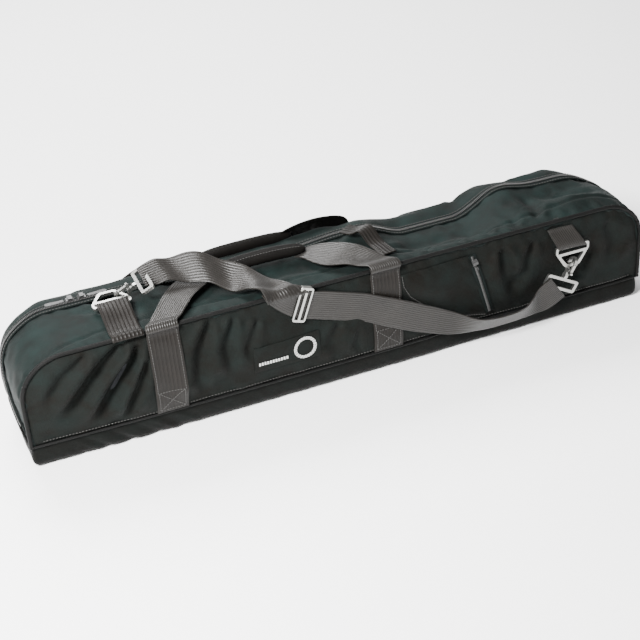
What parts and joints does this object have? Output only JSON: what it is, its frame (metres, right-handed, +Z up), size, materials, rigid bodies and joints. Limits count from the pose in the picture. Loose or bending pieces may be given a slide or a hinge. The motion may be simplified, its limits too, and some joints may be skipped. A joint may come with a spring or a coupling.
{
  "type": "telescope carry case",
  "caption": "Long padded soft case for a telescope or tripod, with a zipped lid, two webbing carry handles, a front pocket and a clip-on shoulder strap.",
  "frame": {"origin": "centre of the base's underside, where the case stands", "axes": "+X along the case's length, -Y out of the front with the pocket, +Z up"},
  "size_m": [1.043, 0.2216, 0.2255],
  "materials": {
    "nylon": "black woven nylon, padded, slight sheen",
    "gusset": "black woven nylon with a cool sheen",
    "webbing": "flat black nylon webbing, ribbed along its length",
    "grip": "padded nylon sleeve",
    "foam": "brushed lining over foam",
    "board": "stiff board, matte",
    "zip_tape": "woven tape with a nylon coil",
    "zip_pull": "cord pull with a moulded end",
    "nickel": "nickel-plated die casting, satin",
    "dark_metal": "black enamelled die casting",
    "label": "woven label, plain"
  },
  "bodies": {
    "case": {"base_panel": "nylon", "front_panel": "nylon", "back_panel": "nylon", "left_end_panel": "nylon", "right_end_panel": "nylon", "rear_top_strip": "gusset", "base_board": "board", "base_foam": "foam", "front_foam": "foam", "back_foam": "foam", "left_foam": "foam", "right_foam": "foam", "body_zip_tape": "zip_tape", "front_pocket_panel": "nylon", "pocket_zip_tape": "zip_tape", "front_left_leg": "webbing", "front_right_leg": "webbing", "back_left_leg": "webbing", "back_right_leg": "webbing", "name_label": "label", "right_ring_tab": "webbing", "strap_front": "webbing"},
    "lid": {"lid_panel": "gusset", "lid_foam": "foam", "lid_zip_tape": "zip_tape"},
    "front_handle": {"front_handle_left_arm": "webbing", "front_handle_right_arm": "webbing", "front_handle_grip": "grip", "handle_wrap": "webbing", "strap_top": "webbing", "left_ring_tab": "webbing"},
    "back_handle": {"back_handle_left_arm": "webbing", "back_handle_right_arm": "webbing", "back_handle_grip": "grip"},
    "right_ring": {"right_d_ring": "nickel", "right_buckle_frame": "nickel"},
    "right_snap": {"right_snap_hook": "nickel"},
    "right_bolt": {"right_spring_bolt": "nickel"},
    "left_ring": {"left_d_ring": "nickel", "left_buckle_frame": "nickel"},
    "left_snap": {"left_snap_hook": "nickel"},
    "left_bolt": {"left_spring_bolt": "nickel"},
    "glide": {"tri_glide": "nickel"},
    "slider_left": {"zip_slider_left": "dark_metal"},
    "slider_right": {"zip_slider_right": "dark_metal"},
    "pull_left": {"zip_pull_left": "zip_pull"},
    "pull_right": {"zip_pull_right": "zip_pull"},
    "pocket_slider": {"pocket_zip_slider": "dark_metal"},
    "pocket_pull": {"pocket_zip_pull": "zip_pull"}
  },
  "joints": [
    {"name": "lid_hinge", "type": "hinge", "parent": "case", "child": "lid", "pos_m": [0, -0.097, 0.1915], "axis": [1, 0, 0], "range_deg": [0, 95]},
    {"name": "front_handle_hinge", "type": "hinge", "parent": "lid", "child": "front_handle", "pos_m": [0, -0.097, 0.1915], "axis": [1, 0, 0], "range_deg": [0, 75]},
    {"name": "back_handle_hinge", "type": "hinge", "parent": "case", "child": "back_handle", "pos_m": [0, 0.1, 0.148], "axis": [1, 0, 0], "range_deg": [-190, 0]},
    {"name": "right_ring_hinge", "type": "hinge", "parent": "case", "child": "right_ring", "pos_m": [0.385, -0.1085, 0.146], "axis": [1, 0, 0], "range_deg": [-45, 2]},
    {"name": "left_ring_hinge", "type": "hinge", "parent": "front_handle", "child": "left_ring", "pos_m": [-0.352, -0.022, 0.203], "axis": [1, 0, 0], "range_deg": [0, 45]},
    {"name": "right_hook_swivel", "type": "hinge", "parent": "right_ring", "child": "right_snap", "pos_m": [0.36635, -0.1085, 0.07845], "axis": [0.5, 0, 0.866], "range_deg": [-20, 20]},
    {"name": "left_hook_swivel", "type": "hinge", "parent": "left_ring", "child": "left_snap", "pos_m": [-0.29679, -0.0015, 0.21876], "axis": [-0.9063, 0, -0.4226], "range_deg": [-20, 20]},
    {"name": "right_bolt_slide", "type": "slide", "parent": "right_snap", "child": "right_bolt", "axis": [-0.5, 0, -0.866], "range_m": [0, 0.0075], "stiffness_N_per_m": 120, "springref_m": -0.003},
    {"name": "left_bolt_slide", "type": "slide", "parent": "left_snap", "child": "left_bolt", "axis": [0.9063, 0, 0.4226], "range_m": [0, 0.0075], "stiffness_N_per_m": 120, "springref_m": -0.003},
    {"name": "glide_slide", "type": "slide", "parent": "case", "child": "glide", "axis": [0.94, 0, -0.3411], "range_m": [0, 0.1]},
    {"name": "zip_slide_left", "type": "slide", "parent": "case", "child": "slider_left", "axis": [-1, 0, 0], "range_m": [0, 0.025]},
    {"name": "zip_slide_right", "type": "slide", "parent": "case", "child": "slider_right", "axis": [1, 0, 0], "range_m": [0, 0.8]},
    {"name": "zip_pull_left_hinge", "type": "hinge", "parent": "slider_left", "child": "pull_left", "pos_m": [-0.4145, 0.0368, 0.193], "axis": [0, 1, 0], "range_deg": [0, 90]},
    {"name": "zip_pull_right_hinge", "type": "hinge", "parent": "slider_right", "child": "pull_right", "pos_m": [-0.3765, 0.0368, 0.193], "axis": [0, -1, 0], "range_deg": [0, 90]},
    {"name": "pocket_zip_slide", "type": "slide", "parent": "case", "child": "pocket_slider", "axis": [0.2425, 0, -0.9701], "range_m": [0, 0.065]},
    {"name": "pocket_pull_hinge", "type": "hinge", "parent": "pocket_slider", "child": "pocket_pull", "pos_m": [0.21697, -0.0985, 0.14811], "axis": [-0.9701, 0, -0.2425], "range_deg": [0, 85]}
  ]
}
